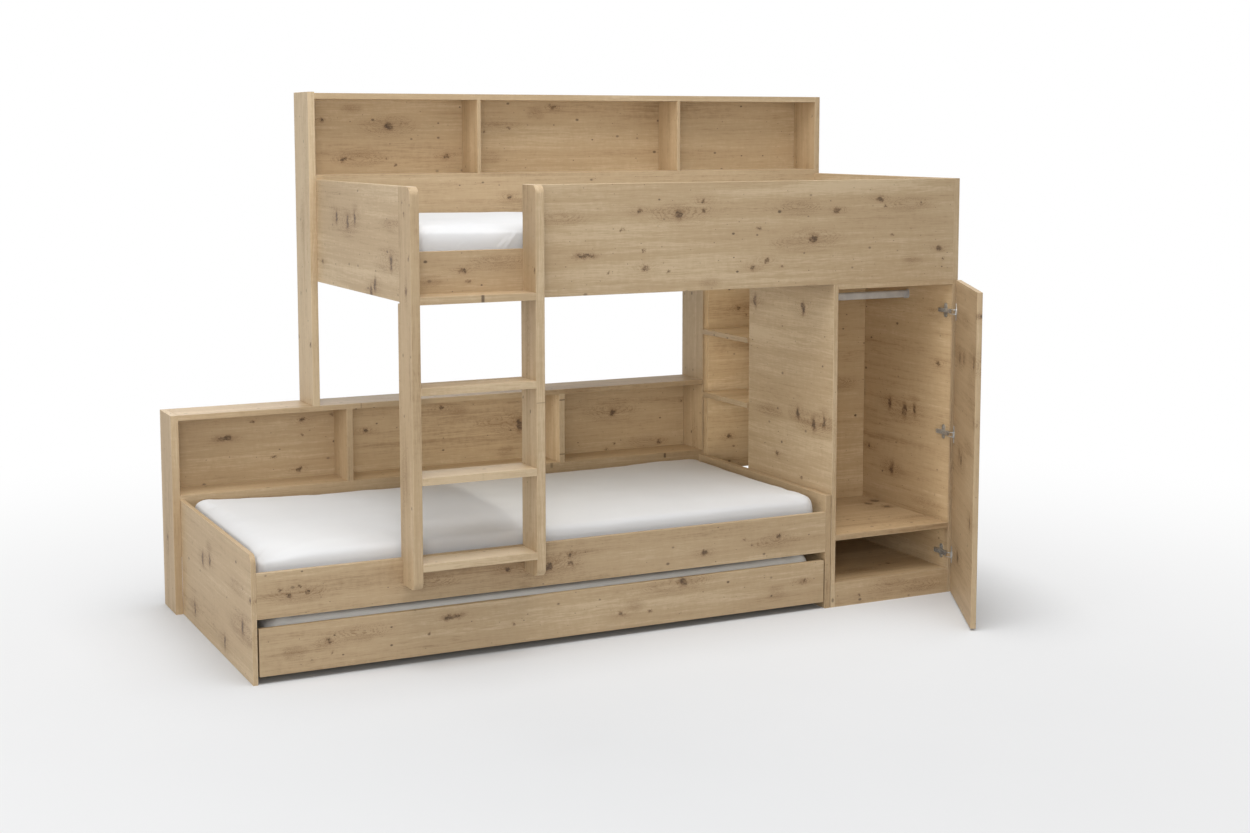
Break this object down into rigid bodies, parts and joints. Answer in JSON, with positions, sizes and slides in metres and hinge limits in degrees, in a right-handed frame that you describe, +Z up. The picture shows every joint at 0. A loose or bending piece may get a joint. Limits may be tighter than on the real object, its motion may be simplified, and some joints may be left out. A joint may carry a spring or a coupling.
{
  "type": "bunk bed with wardrobe",
  "caption": "Bunk bed of oak-look boards with offset upper bed, ladder, shelves behind both beds, wardrobe with open door, niche and trundle bed.",
  "frame": {"origin": "on the floor, under the middle of the box round the whole object with the door as pictured and the trundle in", "axes": "+X along the beds from the low foot end to the wardrobe, +Y from the ladder side to the wall side, +Z up"},
  "size_m": [2.596, 1.5487, 1.794],
  "materials": {
    "oak_board": "oak-look coated board, fine grain, satin",
    "birch": "bare birch plywood slats",
    "sheet": "white cotton sheet over a mattress",
    "hinge_steel": "nickel-plated pressed steel",
    "rail_aluminium": "anodised, satin",
    "wheel_plastic": "dark moulded plastic"
  },
  "bodies": {
    "frame": {"lower_left_side": "oak_board", "lower_right_side": "oak_board", "lower_front_rail": "oak_board", "lower_rear_rail": "oak_board", "lower_shelf_end": "oak_board", "lower_shelf_bottom": "oak_board", "lower_shelf_top": "oak_board", "lower_shelf_back": "oak_board", "lower_shelf_divider_1": "oak_board", "lower_shelf_divider_2": "oak_board", "rear_post": "oak_board", "left_post": "oak_board", "upper_shelf_bottom": "oak_board", "upper_shelf_top": "oak_board", "upper_shelf_back": "oak_board", "upper_shelf_divider_1": "oak_board", "upper_shelf_divider_2": "oak_board", "upper_shelf_end": "oak_board", "upper_left_end": "oak_board", "upper_right_end": "oak_board", "upper_rear_rail": "oak_board", "upper_front_board": "oak_board", "ladder_left_upright": "oak_board", "ladder_right_upright": "oak_board", "ladder_tread_1": "oak_board", "ladder_tread_2": "oak_board", "ladder_tread_3": "oak_board", "ladder_tread_4": "oak_board", "wardrobe_left_side": "oak_board", "wardrobe_right_side": "oak_board", "wardrobe_top": "oak_board", "wardrobe_back": "oak_board", "wardrobe_plinth": "oak_board", "wardrobe_bottom": "oak_board", "wardrobe_shelf": "oak_board", "niche_back": "oak_board", "niche_shelf_1": "oak_board", "niche_shelf_2": "oak_board", "clothes_rail": "rail_aluminium", "hinge_arm_1": "hinge_steel", "hinge_arm_2": "hinge_steel", "hinge_arm_3": "hinge_steel", "lower_slat_base": "birch", "upper_slat_base": "birch", "lower_mattress": "sheet", "upper_mattress": "sheet"},
    "door": {"wardrobe_door": "oak_board", "hinge_cup_1": "hinge_steel", "hinge_cup_2": "hinge_steel", "hinge_cup_3": "hinge_steel"},
    "trundle": {"trundle_front": "oak_board", "trundle_back": "oak_board", "trundle_left_side": "oak_board", "trundle_right_side": "oak_board", "trundle_slat_base": "birch", "trundle_mattress": "sheet"},
    "wheel_1": {"trundle_wheel_1": "wheel_plastic"},
    "wheel_2": {"trundle_wheel_2": "wheel_plastic"},
    "wheel_3": {"trundle_wheel_3": "wheel_plastic"},
    "wheel_4": {"trundle_wheel_4": "wheel_plastic"}
  },
  "joints": [
    {"name": "door_hinge", "type": "hinge", "parent": "frame", "child": "door", "pos_m": [1.293, -0.324, 0.57], "axis": [0, 0, 1], "range_deg": [-61, 49]},
    {"name": "trundle_roll", "type": "slide", "parent": "frame", "child": "trundle", "axis": [0, -1, 0], "range_m": [0, 0.88]},
    {"name": "wheel_1_spin", "type": "hinge", "parent": "trundle", "child": "wheel_1", "pos_m": [-1.131, -0.203, 0.02], "axis": [1, 0, 0], "range_deg": [0, 2530]},
    {"name": "wheel_2_spin", "type": "hinge", "parent": "trundle", "child": "wheel_2", "pos_m": [0.629, -0.203, 0.02], "axis": [1, 0, 0], "range_deg": [0, 2530]},
    {"name": "wheel_3_spin", "type": "hinge", "parent": "trundle", "child": "wheel_3", "pos_m": [-1.131, 0.499, 0.02], "axis": [1, 0, 0], "range_deg": [0, 2530]},
    {"name": "wheel_4_spin", "type": "hinge", "parent": "trundle", "child": "wheel_4", "pos_m": [0.629, 0.499, 0.02], "axis": [1, 0, 0], "range_deg": [0, 2530]}
  ],
  "couplings": [
    {"joint": "wheel_1_spin", "follows": "trundle_roll", "rad_per_m": 50},
    {"joint": "wheel_2_spin", "follows": "trundle_roll", "rad_per_m": 50},
    {"joint": "wheel_3_spin", "follows": "trundle_roll", "rad_per_m": 50},
    {"joint": "wheel_4_spin", "follows": "trundle_roll", "rad_per_m": 50}
  ]
}
